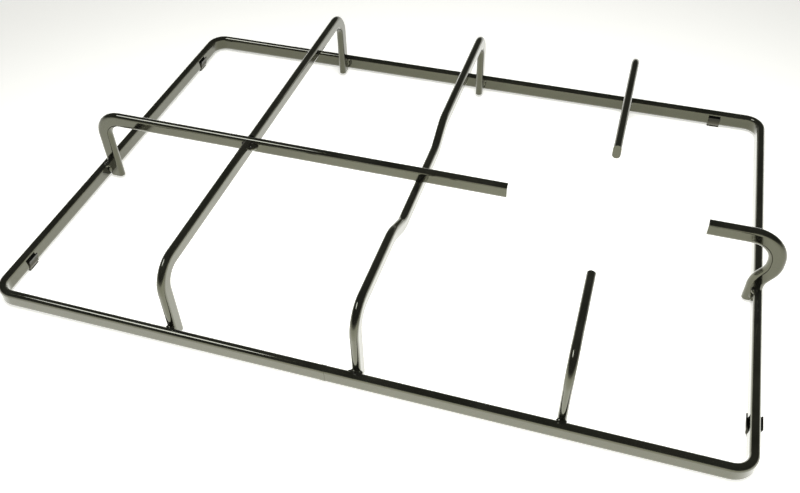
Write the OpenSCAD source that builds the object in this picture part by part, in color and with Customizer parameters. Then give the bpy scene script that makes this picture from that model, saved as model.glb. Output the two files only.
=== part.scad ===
// Pan support for a two-burner gas hob: a flat loop of upright bar stock that
// carries six bent bars, welded to its inner face, and stands on four clip feet.
// +X runs along the hob from left to right, +Y to its back and +Z up.

/* [Outer frame] */
// Length of the frame, between the centres of its side rails
frame_l = 450; // [430:1:480]
// Depth of the frame, between the centres of its front and rear rails
frame_d = 311.7; // [300:0.1:330]
// Thickness of the rails
rail_w = 5.5; // [5:0.1:6]
// Height of the rails, over their rounded top and bottom
rail_h = 11.4; // [10.6:0.1:12.2]
// Radius of the frame's corners, at the centre of the rail
corner_r = 11; // [9:0.5:14]
// Place of the loop's butt weld along the front rail, from the frame's centre
seam_x = -7.5; // [-20:0.5:20]
// Length of the butt weld along the rail
seam_l = 2.6; // [1.5:0.1:4]
// How far the butt weld stands proud of the rail
seam_proud = 0.15; // [0.1:0.05:0.3]

/* [Pan bars] */
// Thickness of the bent bars
bar_w = 5.4; // [5:0.1:5.8]
// Depth of the bent bars, over their rounded edges
bar_h = 10.3; // [9.8:0.1:10.8]
// Height of the bars' centre line above the rails' centre line
lift = 45.5; // [42:0.5:52]
// Radius of the bends above the legs, at the centre of the bar
bend_r = 14.2; // [12:0.1:16]
// How far the legs reach below the rails' centre line
leg_drop = 4.5; // [3.5:0.1:5.5]
// Depth by which a leg is pressed into its weld on the rail
leg_set = 0.35; // [0.2:0.05:0.5]

/* [Burners] */
// Distance between the centres of the two burners
burner_pitch = 232; // [220:1:245]
// Distance of the right burner's centre from the frame's centre, along the hob
burner_x = 126.8; // [120:0.1:132]
// Distance of the burners' centres in front of the frame's centre
burner_front = 24.5; // [10:0.1:35]
// Distance of the cross bar's end and the front and right fingers from the burner's centre
tip_gap = 59.5; // [54:0.5:66]
// Distance of the rear finger's end from the burner's centre
rear_tip_gap = 56.5; // [52:0.5:64]

/* [Dip of the middle bar] */
// Length of the low, flat stretch that passes under the cross bar
dip_flat = 67; // [50:1:80]
// Slope of the bar on its way down and up, in degrees
dip_angle = 24; // [20:1:30]
// Radius of the dip's bends, at the centre of the bar
dip_r = 20; // [16:0.5:24]
// Depth by which the two bars are pressed into each other where they cross
cross_set = 0.5; // [0.3:0.05:0.7]

/* [Right finger] */
// How far the finger stands outside the centre line of the right rail
bow_out = 4; // [3:0.1:6]
// Radius of its upper bend, at the centre of the bar
bow_r = 17; // [15:0.5:19]
// Straight stretch between its upper bend and its inward bend
bow_straight = 2.5; // [1:0.1:4]
// Angle of its two lower bends, in degrees
jog_angle = 32; // [28:1:36]
// Radius of its two lower bends, at the centre of the bar
jog_r = 14; // [12:0.5:15]

/* [Clip feet] */
// Length of a foot along its rail
foot_l = 8.6; // [7:0.2:11]
// Width of the sole that stands on the hob
sole_w = 4.2; // [3.4:0.2:5]
// Thickness of the sole below the clip
sole_t = 0.5; // [0.3:0.1:1.2]
// Thickness of the clip and its spring arms
arm_t = 0.8; // [0.6:0.1:1]
// Inner radius of the spring arms' curl
arm_r = 12; // [10:0.5:14]
// Angle of the spring arms' curl, in degrees
arm_angle = 22; // [18:1:26]
// Distance of each foot along its rail, from the centre line of the rail around the corner
foot_in = 33; // [26:0.5:45]

/* [Hidden] */
$fn = 64;
enamel = "#1d1c1a";
rubber = "#3a3936";
// Bars are placed from the frame's centre, which lies between the four rails.
left_x = burner_x - burner_pitch;
middle_x = burner_x - burner_pitch / 2;
cross_y = -burner_front;
// A leg's centre line stands this far inside the rail's centre line.
leg_in = rail_w / 2 + bar_h / 2 - leg_set;
leg_top = lift - bend_r;
// Bending swells the stock a little, and each bend laps over the straights by an angle.
bend_swell = 0.02;
bend_lap = 0.2;
// The middle bar lies this far below the cross bar where they cross.
dip_depth = bar_h - 2 * cross_set;
weld_z = lift - bar_h / 2 + cross_set;
dip_bends = 2 * dip_r * (1 - cos(dip_angle));
dip_slope = (dip_depth - dip_bends) / sin(dip_angle);
dip_run = 2 * dip_r * sin(dip_angle) + dip_slope * cos(dip_angle);
// The right finger's leg stands on the inner face of the rail.
right_leg_x = frame_l / 2 - rail_w / 2;
bow_x = frame_l / 2 + bow_out;
jog_bends = 2 * jog_r * (1 - cos(jog_angle));
jog_slope = (bow_x - right_leg_x - jog_bends) / sin(jog_angle);
jog_drop = 2 * jog_r * sin(jog_angle) + jog_slope * cos(jog_angle);
// The flat sides of a rail end this far above and below its centre line.
rail_flat = (rail_h - rail_w) / 2;
// Feet stand this far from the frame's centre, along the side rails and the rear rail.
foot_y = frame_d / 2 - foot_in;
foot_x = frame_l / 2 - foot_in;
// The arms curl about a point this far from the rail's side.
curl_out = arm_r + arm_t;
tip_r = arm_r + arm_t / 2;
arm_reach = curl_out - tip_r * cos(arm_angle) + arm_t / 2;
// The origin lies under the middle of the whole part, on the floor.
left_end = -frame_l / 2 - rail_w / 2 - arm_reach;
right_end = bow_x + bar_h / 2;
front_end = -frame_d / 2 - rail_w / 2 - seam_proud;
rear_end = frame_d / 2 + rail_w / 2 + arm_reach;
floor_z = -rail_h / 2 - arm_t - sole_t;

// Upright section of bar stock with fully rounded edges.
module stock(width, height) {
    square([width, height - width], center = true);
    for (edge = [-1, 1])
        translate([0, edge * (height - width) / 2])
            circle(width / 2);
}

module rail_stock() {
    stock(rail_w, rail_h);
}

// Straight stretch of bar along +X.
module straight(length) {
    rotate([90, 0, 90])
        linear_extrude(length)
            stock(bar_w, bar_h);
}

// Bend that starts along +X and turns up, or down where the angle is negative.
module bend(angle, radius) {
    flip = angle > 0 ? 0 : 1;
    mirror([0, 0, flip])
        translate([0, 0, radius])
            rotate([90, 0, 0])
                rotate(-90 - bend_lap)
                    rotate_extrude(angle = abs(angle) + 2 * bend_lap)
                        translate([radius, 0])
                            rotate(90)
                                stock(bar_w + bend_swell, bar_h + bend_swell);
}

// Bar bent in one upright plane, as a list of [straight length, angle, radius].
module bent_bar(moves, i = 0) {
    if (i < len(moves)) {
        length = moves[i][0];
        angle = moves[i][1];
        radius = moves[i][2];
        straight(length);
        translate([length, 0, 0]) {
            if (angle != 0)
                bend(angle, radius);
            translate([radius * abs(sin(angle)), 0, sign(angle) * radius * (1 - cos(angle))])
                rotate([0, -angle, 0])
                    bent_bar(moves, i + 1);
        }
    }
}

// Bar whose first move is a leg, standing on the rail at the point [x, y].
module legged_bar(x, y, heading, moves) {
    translate([x, y, -leg_drop])
        rotate(heading)
            rotate([0, -90, 0])
                bent_bar(concat([[leg_drop + leg_top, -90, bend_r]], moves));
}

// Closing moves of a bar that ends in a second leg.
function second_leg(length) = [
    [length, -90, bend_r],
    [leg_top + leg_drop, 0, 0]
];

// Room that the rails take: everything outside their inner faces, up to a height.
module rail_room(top) {
    difference() {
        translate([-frame_l, -frame_d, -rail_h])
            cube([2 * frame_l, 2 * frame_d, rail_h + top]);
        translate([-frame_l / 2 + rail_w / 2, -frame_d / 2 + rail_w / 2, -2 * rail_h])
            cube([frame_l - rail_w, frame_d - rail_w, 4 * rail_h]);
    }
}

// Block around the crossing of two bars, from one height to another.
module crossing(x, y, low, high) {
    translate([x - bar_w / 2, y - bar_w / 2, low])
        cube([bar_w, bar_w, high - low]);
}

// Rail between two corners, along X.
module rail(length) {
    translate([-length / 2, 0, 0])
        rotate([90, 0, 90])
            linear_extrude(length)
                rail_stock();
}

module outer_frame() {
    corner_x = frame_l / 2 - corner_r;
    corner_y = frame_d / 2 - corner_r;
    color(enamel) {
        for (side = [-1, 1]) {
            translate([0, side * frame_d / 2, 0])
                rail(2 * corner_x);
            translate([side * frame_l / 2, 0, 0])
                rotate(90)
                    rail(2 * corner_y);
        }
        for (turn = [0, 180]) {
            rotate(turn)
                translate([corner_x, corner_y, 0])
                    rotate_extrude(angle = 90)
                        translate([corner_r, 0])
                            rail_stock();
            rotate(turn)
                translate([-corner_x, corner_y, 0])
                    rotate(90)
                        rotate_extrude(angle = 90)
                            translate([corner_r, 0])
                                rail_stock();
        }
        translate([seam_x - seam_l / 2, -frame_d / 2, 0])
            rotate([90, 0, 90])
                linear_extrude(seam_l)
                    stock(rail_w + 2 * seam_proud, rail_h + 2 * seam_proud);
    }
}

// One leg on the left rail; its other end is cut off square beside the burner.
module cross_bar() {
    leg_x = -frame_l / 2 + leg_in;
    free_end = burner_x - tip_gap;
    color(enamel)
        difference() {
            legged_bar(leg_x, cross_y, 0, [[free_end - leg_x - bend_r, 0, 0]]);
            rail_room(rail_h / 2);
            crossing(left_x, cross_y, lift - bar_h, lift);
            crossing(middle_x, cross_y, lift - bar_h, weld_z);
        }
}

// Legs on the front and rear rails; halved into the cross bar, level with it.
module left_bar() {
    leg_y = frame_d / 2 - leg_in;
    color(enamel)
        difference() {
            legged_bar(left_x, -leg_y, 90, second_leg(2 * (leg_y - bend_r)));
            rail_room(rail_h / 2);
            crossing(left_x, cross_y, lift, lift + bar_h);
        }
}

// Legs on the front and rear rails; it dips to pass under the cross bar.
module middle_bar() {
    leg_y = frame_d / 2 - leg_in;
    half_dip = dip_flat / 2 + dip_run;
    down = [
        [leg_y - bend_r + cross_y - half_dip, -dip_angle, dip_r],
        [dip_slope, dip_angle, dip_r]
    ];
    up = [
        [dip_flat, dip_angle, dip_r],
        [dip_slope, -dip_angle, dip_r]
    ];
    color(enamel)
        difference() {
            legged_bar(
                middle_x, -leg_y, 90,
                concat(down, up, second_leg(leg_y - bend_r - cross_y - half_dip))
            );
            rail_room(rail_h / 2);
            crossing(middle_x, cross_y, weld_z, lift);
        }
}

// Single leg on the rear rail; the finger points forward to the right burner.
module rear_finger() {
    leg_y = frame_d / 2 - leg_in;
    free_end = cross_y + rear_tip_gap;
    color(enamel)
        difference() {
            legged_bar(burner_x, leg_y, -90, [[leg_y - bend_r - free_end, 0, 0]]);
            rail_room(rail_h / 2);
        }
}

// Single leg on the front rail; the finger points back to the right burner.
module front_finger() {
    leg_y = -frame_d / 2 + leg_in;
    free_end = cross_y - tip_gap;
    color(enamel)
        difference() {
            legged_bar(burner_x, leg_y, 90, [[free_end - leg_y - bend_r, 0, 0]]);
            rail_room(rail_h / 2);
        }
}

// Bowed out over the right rail, then back in; half of its leg rests on the rail.
module right_finger() {
    free_end = burner_x + tip_gap;
    leg_end = lift - bow_r - bow_straight - jog_drop + leg_drop;
    color(enamel)
        difference() {
            translate([free_end, cross_y, lift])
                bent_bar([
                    [bow_x - bow_r - free_end, -90, bow_r],
                    [bow_straight, -jog_angle, jog_r],
                    [jog_slope, jog_angle, jog_r],
                    [leg_end, 0, 0]
                ]);
            rail_room(rail_h / 2);
        }
}

// Round lower part of the clip, which cradles the underside of the rail.
module cradle_profile() {
    cradle_r = rail_w / 2 + arm_t;
    translate([0, -rail_flat])
        intersection() {
            circle(cradle_r);
            translate([-cradle_r, -cradle_r])
                square([2 * cradle_r, cradle_r]);
        }
}

// Narrow sole below the clip, which stands on the hob.
module sole_profile() {
    translate([-sole_w / 2, floor_z])
        square([sole_w, -rail_flat - floor_z]);
}

// Spring arm that leaves the rail's side and curls outward as it rises.
module arm_profile() {
    translate([rail_w / 2 + curl_out, -rail_flat]) {
        intersection() {
            difference() {
                circle(curl_out);
                circle(arm_r);
            }
            polygon([
                [0, 0],
                [-2 * curl_out, 0],
                [-2 * curl_out * cos(arm_angle), 2 * curl_out * sin(arm_angle)]
            ]);
        }
        translate([-tip_r * cos(arm_angle), tip_r * sin(arm_angle)])
            circle(arm_t / 2);
    }
}

// Foot clipped on a rail that runs along X, centred on the point [x, y].
module clip_foot(x, y, heading) {
    color(rubber)
        translate([x, y, 0])
            rotate([90, 0, heading + 90])
                translate([0, 0, -foot_l / 2])
                    linear_extrude(foot_l)
                        difference() {
                            union() {
                                cradle_profile();
                                sole_profile();
                                arm_profile();
                                mirror([1, 0])
                                    arm_profile();
                            }
                            rail_stock();
                        }
}

module foot_front_left() {
    clip_foot(-frame_l / 2, -foot_y, 90);
}

module foot_rear_left() {
    clip_foot(-frame_l / 2, foot_y, 90);
}

module foot_front_right() {
    clip_foot(frame_l / 2, -foot_y, 90);
}

module foot_rear_right() {
    clip_foot(foot_x, frame_d / 2, 0);
}

// Moves the frame's centre so that the origin lies under the whole part.
module placed() {
    translate([-(left_end + right_end) / 2, -(front_end + rear_end) / 2, -floor_z])
        children();
}

placed() outer_frame();
placed() cross_bar();
placed() left_bar();
placed() middle_bar();
placed() rear_finger();
placed() front_finger();
placed() right_finger();
placed() foot_front_left();
placed() foot_rear_left();
placed() foot_front_right();
placed() foot_rear_right();
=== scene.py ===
from math import pi

import bmesh
import bpy
from mathutils import Matrix, Vector


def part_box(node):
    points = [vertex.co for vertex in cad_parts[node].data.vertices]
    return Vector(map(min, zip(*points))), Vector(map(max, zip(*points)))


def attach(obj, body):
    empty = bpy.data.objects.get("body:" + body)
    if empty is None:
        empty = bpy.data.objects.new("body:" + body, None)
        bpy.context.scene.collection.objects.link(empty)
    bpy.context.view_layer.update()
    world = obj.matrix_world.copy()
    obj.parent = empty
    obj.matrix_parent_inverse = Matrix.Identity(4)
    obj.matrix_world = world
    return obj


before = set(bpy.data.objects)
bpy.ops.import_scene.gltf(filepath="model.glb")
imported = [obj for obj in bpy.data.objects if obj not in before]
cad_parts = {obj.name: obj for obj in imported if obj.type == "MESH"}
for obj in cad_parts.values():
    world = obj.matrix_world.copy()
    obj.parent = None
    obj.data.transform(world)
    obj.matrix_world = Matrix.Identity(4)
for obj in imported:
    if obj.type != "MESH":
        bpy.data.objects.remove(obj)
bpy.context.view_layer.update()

# Camera: it stands in front of the hob, to the right of its middle, and looks down
# and a little to the left. The lens and place are those of the photograph.
camera_place = Vector((0.12783, -0.43108, 0.39896))
camera_turn = 0.31755
camera_pitch = 0.76904
camera_roll = 0.02568
photo_width_px = 800
focal_px = 865.44
sensor_mm = 36

camera_data = bpy.data.cameras.new("camera")
camera_data.sensor_width = sensor_mm
camera_data.lens = focal_px / photo_width_px * sensor_mm
camera_data.clip_start = 0.01
camera = bpy.data.objects.new("camera", camera_data)
camera.matrix_world = (
    Matrix.Translation(camera_place)
    @ Matrix.Rotation(camera_turn, 4, "Z")
    @ Matrix.Rotation(pi / 2 - camera_pitch, 4, "X")
    @ Matrix.Rotation(-camera_roll, 4, "Z")
)
bpy.context.collection.objects.link(camera)
bpy.context.scene.camera = camera
bpy.context.scene.view_settings.view_transform = "Standard"


# Outer frame: one length of upright steel bar, bent at four corners, butt-welded in
# the middle of its front and fired with black vitreous enamel. The glass is thick and
# glossy, with a faint orange peel, and pulls thin and rougher over the weld.
def node_at(tree, kind, place, **inputs):
    node = tree.nodes.new(kind)
    node.location = place
    for name, value in inputs.items():
        node.inputs[name.replace("_", " ")].default_value = value
    return node


def enamel(name, offset):
    material = bpy.data.materials.new(name)
    material.use_nodes = True
    tree = material.node_tree
    link = tree.links.new
    glass = tree.nodes["Principled BSDF"]
    glass.inputs["IOR"].default_value = 1.7
    glass.inputs["Specular Tint"].default_value = (0.99, 1.0, 0.55, 1)
    glass.inputs["Coat Weight"].default_value = 1
    glass.inputs["Coat Roughness"].default_value = 0.03
    glass.inputs["Coat IOR"].default_value = 1.5
    place = tree.nodes.new("ShaderNodeTexCoord")
    place.location = (-1200, 0)
    shift = tree.nodes.new("ShaderNodeMapping")
    shift.location = (-1000, 0)
    shift.inputs["Location"].default_value = offset
    link(place.outputs["Object"], shift.inputs["Vector"])
    cloud = node_at(tree, "ShaderNodeTexNoise", (-780, 260), Scale=45, Detail=4)
    peel = node_at(tree, "ShaderNodeTexNoise", (-780, 0), Scale=520, Detail=2)
    speck = node_at(tree, "ShaderNodeTexVoronoi", (-780, -260), Scale=260)
    for texture in (cloud, peel, speck):
        link(shift.outputs["Vector"], texture.inputs["Vector"])
    tone = tree.nodes.new("ShaderNodeValToRGB")
    tone.location = (-520, 300)
    tone.color_ramp.elements[0].position = 0.35
    tone.color_ramp.elements[0].color = (0.008, 0.008, 0.007, 1)
    tone.color_ramp.elements[1].position = 0.7
    tone.color_ramp.elements[1].color = (0.017, 0.017, 0.014, 1)
    link(cloud.outputs["Fac"], tone.inputs["Fac"])
    link(tone.outputs["Color"], glass.inputs["Base Color"])
    gloss = node_at(tree, "ShaderNodeMapRange", (-520, 60), To_Min=0.04, To_Max=0.1)
    link(cloud.outputs["Fac"], gloss.inputs["Value"])
    link(gloss.outputs["Result"], glass.inputs["Roughness"])
    pits = node_at(tree, "ShaderNodeMapRange", (-520, -240), From_Max=0.12)
    link(speck.outputs["Distance"], pits.inputs["Value"])
    relief = node_at(tree, "ShaderNodeMath", (-320, -140))
    relief.operation = "ADD"
    link(peel.outputs["Fac"], relief.inputs[0])
    link(pits.outputs["Result"], relief.inputs[1])
    bump = node_at(tree, "ShaderNodeBump", (-140, -160), Strength=0.15, Distance=0.00001)
    link(relief.outputs["Value"], bump.inputs["Height"])
    link(bump.outputs["Normal"], glass.inputs["Normal"])
    return material


def dress(node, material):
    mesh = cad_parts[node].data
    mesh.materials.clear()
    mesh.materials.append(material)


dress("outer_frame", enamel("rail_enamel", (0, 0, 0)))

# Pan bars: upright steel bars, bent cold and resistance-welded to the inner face of
# the rails before enamelling. Each gets its own cut of the same black enamel.
pan_bars = (
    "cross_bar",
    "left_bar",
    "middle_bar",
    "rear_finger",
    "front_finger",
    "right_finger",
)
for number, bar in enumerate(pan_bars):
    dress(bar, enamel(bar + "_enamel", (0.37 * (number + 1), 0, 0)))

# Welds: steel squeezed out where each leg is pressed hot against the rail's inner
# face, and where the bars cross. The enamel pools over it in a smooth, lumpy fillet.
weld_enamel = enamel("weld_enamel", (-0.4, 0, 0))
weld_voxel = 0.00025
mm = 0.001
mm_in_a_metre = 1000


def weld(name, place, along, inward, lumps):
    mesh = bpy.data.meshes.new(name)
    build = bmesh.new()
    turn = Matrix((along, inward, (0, 0, 1))).transposed().to_4x4()
    for centre, radii in lumps:
        bmesh.ops.create_icosphere(
            build,
            subdivisions=3,
            radius=mm,
            matrix=Matrix.Translation(Vector(place) * mm)
            @ turn
            @ Matrix.Translation(Vector(centre) * mm)
            @ Matrix.Diagonal((*radii, 1)),
        )
    bmesh.ops.recalc_face_normals(build, faces=build.faces)
    build.to_mesh(mesh)
    build.free()
    mesh.materials.append(weld_enamel)
    bead = bpy.data.objects.new(name, mesh)
    bpy.context.collection.objects.link(bead)
    skin = bead.modifiers.new("skin", "REMESH")
    skin.mode = "VOXEL"
    skin.voxel_size = weld_voxel
    skin.use_smooth_shade = True
    flow = bead.modifiers.new("flow", "SMOOTH")
    flow.factor = 0.5
    flow.iterations = 6
    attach(bead, "root")


rail_low, rail_high = (Vector(c) * mm_in_a_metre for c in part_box("outer_frame"))
rail_width = 5.5
seam_proud = 0.15
inner_left = rail_low.x + rail_width
inner_right = rail_high.x - rail_width
inner_front = rail_low.y + seam_proud + rail_width
inner_rear = rail_high.y - rail_width
rail_top = rail_high.z
left_x = -107.55
middle_x = 8.45
finger_x = 124.45
# Each lump is a centre and three radii, in millimetres, from the leg's top corner.
leg_lumps = (
    ((0, 0.2, -1.9), (3.5, 1.6, 1.8)),
    ((-2.7, -1.5, -0.6), (1.4, 1.3, 1.0)),
    ((2.9, 0.3, -1.9), (1.6, 1.3, 1.6)),
    ((0, 0.9, -5.2), (3.4, 1.4, 3.6)),
)
neat_lumps = (
    ((0, 0.2, -1.9), (3.1, 1.4, 1.5)),
    ((0, 0.9, -5.2), (3.2, 1.4, 3.4)),
)
for bar, end, place, lumps in (
    ("left_bar", "front", (left_x, inner_front, rail_top), neat_lumps),
    ("left_bar", "rear", (left_x, inner_rear, rail_top), leg_lumps),
    ("middle_bar", "front", (middle_x, inner_front, rail_top), leg_lumps),
    ("middle_bar", "rear", (middle_x, inner_rear, rail_top), leg_lumps),
    ("front_finger", "front", (finger_x, inner_front, rail_top), neat_lumps),
    ("rear_finger", "rear", (finger_x, inner_rear, rail_top), leg_lumps),
):
    inward = (0, 1, 0) if end == "front" else (0, -1, 0)
    weld("weld_" + bar + "_" + end, place, (1, 0, 0), inward, lumps)
cross_y = -25.28
side_lumps = (
    ((0, 0.2, -1.4), (4.2, 2.0, 2.2)),
    ((-3.4, -0.3, -1.0), (2.2, 1.9, 1.7)),
    ((3.3, 0.2, -1.5), (2.3, 1.7, 1.8)),
    ((0, 0.9, -5.2), (3.9, 1.7, 4.0)),
)
weld("weld_cross_bar", (inner_left, cross_y, rail_top), (0, 1, 0), (1, 0, 0), side_lumps)
weld("weld_right_finger", (inner_right, cross_y, rail_top), (0, 1, 0), (-1, 0, 0), side_lumps)
lap_lumps = (
    ((3.1, -3.1, -4.4), (3.7, 3.7, 2.4)),
    ((-2.8, -2.8, -3.8), (2.1, 2.1, 2.0)),
    ((-2.7, 2.7, -4.0), (1.7, 1.7, 2.0)),
    ((2.7, 2.7, -4.0), (1.7, 1.7, 2.0)),
)
bar_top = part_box("cross_bar")[1][2] * mm_in_a_metre
weld("weld_lap", (left_x, cross_y, bar_top), (1, 0, 0), (0, 1, 0), lap_lumps)


# Clip feet: smooth dark moulded rubber, pressed on from below, so that the frame
# can't scratch or rattle on the hob. A painted pale reflection runs low on their sides.
def foot_rubber():
    material = bpy.data.materials.new("foot_rubber")
    material.use_nodes = True
    tree = material.node_tree
    link = tree.links.new
    rubber = tree.nodes["Principled BSDF"]
    rubber.inputs["IOR"].default_value = 1.45
    rubber.inputs["Specular IOR Level"].default_value = 0.35
    rubber.inputs["Specular Tint"].default_value = (1, 0.99, 0.7, 1)
    place = tree.nodes.new("ShaderNodeTexCoord")
    place.location = (-900, 0)
    grain = node_at(tree, "ShaderNodeTexNoise", (-700, -120), Scale=1400, Detail=3)
    reflection_band_noise = node_at(tree, "ShaderNodeTexNoise", (-700, 160), Scale=160, Detail=3)
    link(place.outputs["Object"], grain.inputs["Vector"])
    link(place.outputs["Object"], reflection_band_noise.inputs["Vector"])
    height = tree.nodes.new("ShaderNodeSeparateXYZ")
    height.location = (-900, 420)
    link(place.outputs["Object"], height.inputs["Vector"])
    drift = node_at(tree, "ShaderNodeMath", (-700, 420))
    drift.operation = "MULTIPLY_ADD"
    drift.inputs[1].default_value = 1 / foot_height
    link(height.outputs["Z"], drift.inputs[0])
    # Noise makes the painted reflection band wander a little in height.
    patch = node_at(tree, "ShaderNodeMapRange", (-500, 300), To_Min=-0.03, To_Max=0.03)
    link(reflection_band_noise.outputs["Fac"], patch.inputs["Value"])
    link(patch.outputs["Result"], drift.inputs[2])
    # Painted reflection in the base colour: the rubber's own dark at the sole, a pale band
    # just above it, then darker towards the top.
    tone = tree.nodes.new("ShaderNodeValToRGB")
    tone.location = (-300, 300)
    ramp = tone.color_ramp.elements
    ramp[0].color = (0.012, 0.011, 0.01, 1)
    ramp[1].position = 0.9
    ramp[1].color = (0.006, 0.006, 0.005, 1)
    for position, colour in (
        (0.13, (0.012, 0.011, 0.01, 1)),
        (0.17, (0.36, 0.35, 0.3, 1)),
        (0.27, (0.22, 0.21, 0.17, 1)),
        (0.5, (0.08, 0.074, 0.056, 1)),
    ):
        ramp.new(position).color = colour
    link(drift.outputs["Value"], tone.inputs["Fac"])
    link(tone.outputs["Color"], rubber.inputs["Base Color"])
    matt = node_at(tree, "ShaderNodeMapRange", (-480, -20), To_Min=0.12, To_Max=0.22)
    link(grain.outputs["Fac"], matt.inputs["Value"])
    link(matt.outputs["Result"], rubber.inputs["Roughness"])
    bump = node_at(tree, "ShaderNodeBump", (-240, -160), Strength=0.3, Distance=0.00001)
    link(grain.outputs["Fac"], bump.inputs["Height"])
    link(bump.outputs["Normal"], rubber.inputs["Normal"])
    return material


foot_height = 0.009
rubber = foot_rubber()
for foot in ("foot_front_left", "foot_rear_left", "foot_front_right", "foot_rear_right"):
    dress(foot, rubber)


# Floor: a plain white sweep. A glow of its own, for the camera and for mirrors only,
# makes up its white and leaves the part's shadow. The glow is strongest round the
# part, dips beyond it and rises again far off.
def background_rays(tree, place):
    path = tree.nodes.new("ShaderNodeLightPath")
    path.location = (place[0] - 400, place[1])
    first = node_at(tree, "ShaderNodeMath", (place[0] - 200, place[1]))
    first.operation = "MAXIMUM"
    link = tree.links.new
    link(path.outputs["Is Camera Ray"], first.inputs[0])
    link(path.outputs["Is Glossy Ray"], first.inputs[1])
    both = node_at(tree, "ShaderNodeMath", place)
    both.operation = "MAXIMUM"
    link(first.outputs["Value"], both.inputs[0])
    link(path.outputs["Is Transmission Ray"], both.inputs[1])
    return both.outputs["Value"]


floor_size = 16
pool_middle = (0.05, -0.2, 0)
pool_reach = 1.5
fill_by_distance = ((0, 1), (0.2, 0.72), (0.42, 0.22), (1, 0.75))
floor_mesh = bpy.data.meshes.new("floor")
build = bmesh.new()
bmesh.ops.create_grid(build, x_segments=1, y_segments=1, size=floor_size / 2)
build.to_mesh(floor_mesh)
build.free()
floor = bpy.data.objects.new("floor", floor_mesh)
bpy.context.collection.objects.link(floor)
floor_paint = bpy.data.materials.new("floor_paint")
floor_paint.use_nodes = True
tree = floor_paint.node_tree
tree.nodes.remove(tree.nodes["Principled BSDF"])
paper = node_at(tree, "ShaderNodeBsdfDiffuse", (0, 100), Color=(0.8, 0.8, 0.765, 1))
fill = node_at(tree, "ShaderNodeEmission", (0, -100), Color=(1, 1, 0.955, 1))
place = tree.nodes.new("ShaderNodeTexCoord")
place.location = (-1000, -400)
away = node_at(tree, "ShaderNodeVectorMath", (-800, -400))
away.operation = "DISTANCE"
away.inputs[1].default_value = pool_middle
tree.links.new(place.outputs["Object"], away.inputs[0])
reach = node_at(tree, "ShaderNodeMapRange", (-700, -400), From_Max=pool_reach)
tree.links.new(away.outputs["Value"], reach.inputs["Value"])
pool = tree.nodes.new("ShaderNodeValToRGB")
pool.location = (-500, -400)
pool.color_ramp.interpolation = "B_SPLINE"
while len(pool.color_ramp.elements) < len(fill_by_distance):
    pool.color_ramp.elements.new(0.5)
for element, (distance, level) in zip(pool.color_ramp.elements, fill_by_distance):
    element.position = distance
    element.color = (level, level, level, 1)
tree.links.new(reach.outputs["Result"], pool.inputs["Fac"])
share = node_at(tree, "ShaderNodeMath", (-200, -100))
share.operation = "MULTIPLY"
tree.links.new(pool.outputs["Color"], share.inputs[1])
tree.links.new(background_rays(tree, (-400, -100)), share.inputs[0])
tree.links.new(share.outputs["Value"], fill.inputs["Strength"])
both = tree.nodes.new("ShaderNodeAddShader")
both.location = (200, 0)
tree.links.new(paper.outputs["BSDF"], both.inputs[0])
tree.links.new(fill.outputs["Emission"], both.inputs[1])
tree.links.new(both.outputs["Shader"], tree.nodes["Material Output"].inputs["Surface"])
floor_mesh.materials.append(floor_paint)

# World: white where the camera or a mirror sees it. Elsewhere it is a weak grey fill,
# so that the lamps and not the sky shape the shadow.
world = bpy.data.worlds.new("studio")
bpy.context.scene.world = world
world.use_nodes = True
tree = world.node_tree
seen = background_rays(tree, (-400, 0))
level = node_at(tree, "ShaderNodeMapRange", (-200, 0), To_Min=0.15, To_Max=1)
tree.links.new(seen, level.inputs["Value"])
tree.links.new(level.outputs["Result"], tree.nodes["Background"].inputs["Strength"])
tree.nodes["Background"].inputs["Color"].default_value = (1, 1, 1, 1)

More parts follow.
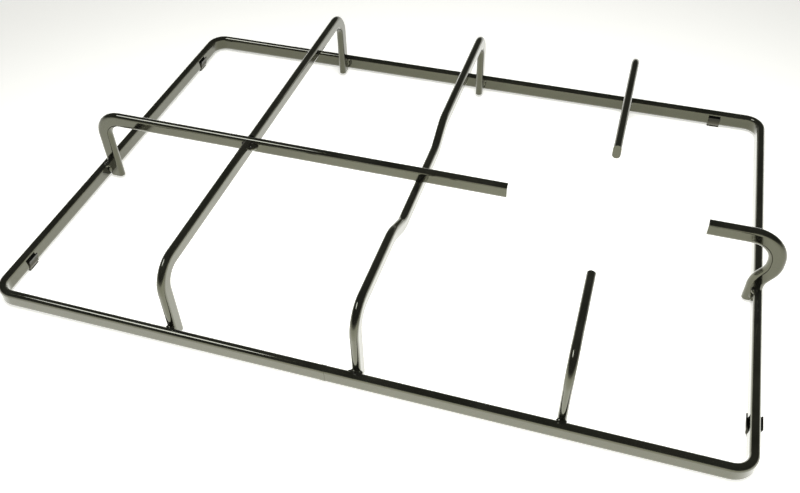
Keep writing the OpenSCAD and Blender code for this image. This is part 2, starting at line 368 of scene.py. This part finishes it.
# Black flag: a dark tent over the table, as is hung over glossy black ware, so that
# the enamel mirrors it from above and keeps its black tops. Only mirrors see it.
flag_radius = 6
flag_mesh = bpy.data.meshes.new("flag")
build = bmesh.new()
bmesh.ops.create_uvsphere(build, u_segments=48, v_segments=24, radius=flag_radius)
below = [v for v in build.verts if v.co.z < 0]
bmesh.ops.delete(build, geom=below, context="VERTS")
build.to_mesh(flag_mesh)
build.free()
flag = bpy.data.objects.new("flag", flag_mesh)
bpy.context.collection.objects.link(flag)
cloth = bpy.data.materials.new("flag_cloth")
cloth.use_nodes = True
tree = cloth.node_tree
tree.nodes.remove(tree.nodes["Principled BSDF"])
place = tree.nodes.new("ShaderNodeTexCoord")
place.location = (-800, 0)
height = tree.nodes.new("ShaderNodeSeparateXYZ")
height.location = (-600, 0)
tree.links.new(place.outputs["Object"], height.inputs["Vector"])
rise = node_at(tree, "ShaderNodeMapRange", (-400, 0), From_Max=flag_radius)
tree.links.new(height.outputs["Z"], rise.inputs["Value"])
# The tent glows with its own light, seen only in reflections: pale grey at its foot, fading
# to near black a quarter of the way up.
fade = tree.nodes.new("ShaderNodeValToRGB")
fade.location = (-300, 0)
fade.color_ramp.interpolation = "EASE"
fade.color_ramp.elements[0].color = (0.6, 0.6, 0.56, 1)
fade.color_ramp.elements[1].position = 0.25
fade.color_ramp.elements[1].color = (0.05, 0.052, 0.04, 1)
tree.links.new(rise.outputs["Result"], fade.inputs["Fac"])
dark = node_at(tree, "ShaderNodeEmission", (0, 0), Strength=1)
tree.links.new(fade.outputs["Color"], dark.inputs["Color"])
tree.links.new(dark.outputs["Emission"], tree.nodes["Material Output"].inputs["Surface"])
flag_mesh.materials.append(cloth)
flag.visible_camera = False
flag.visible_diffuse = False
flag.visible_shadow = False
flag.visible_transmission = False


# Lamps: a soft box low over the middle lights the floor in a pool, and a small round
# lamp far off on the left draws the thin bright lines along the tops of the bars.
def lamp(name, place, target, width, height, watts):
    data = bpy.data.lights.new(name, "AREA")
    data.shape = "ELLIPSE"
    data.size = width
    data.size_y = height
    data.energy = watts
    light = bpy.data.objects.new(name, data)
    light.location = place
    aim = Vector(target) - Vector(place)
    light.rotation_euler = aim.to_track_quat("-Z", "Y").to_euler()
    light.visible_camera = False
    bpy.context.collection.objects.link(light)
    return light


soft_box = lamp("soft_box", (0.05, -0.2, 0.75), (0.05, -0.2, 0), 0.6, 0.6, 6)
soft_box.visible_glossy = False
glint = lamp("glint", (-2.4, -1.1, 4.3), (0, 0, 0), 2.3, 1.2, 52)
glint.data.color = (0.84, 0.85, 1)
glint.visible_diffuse = False
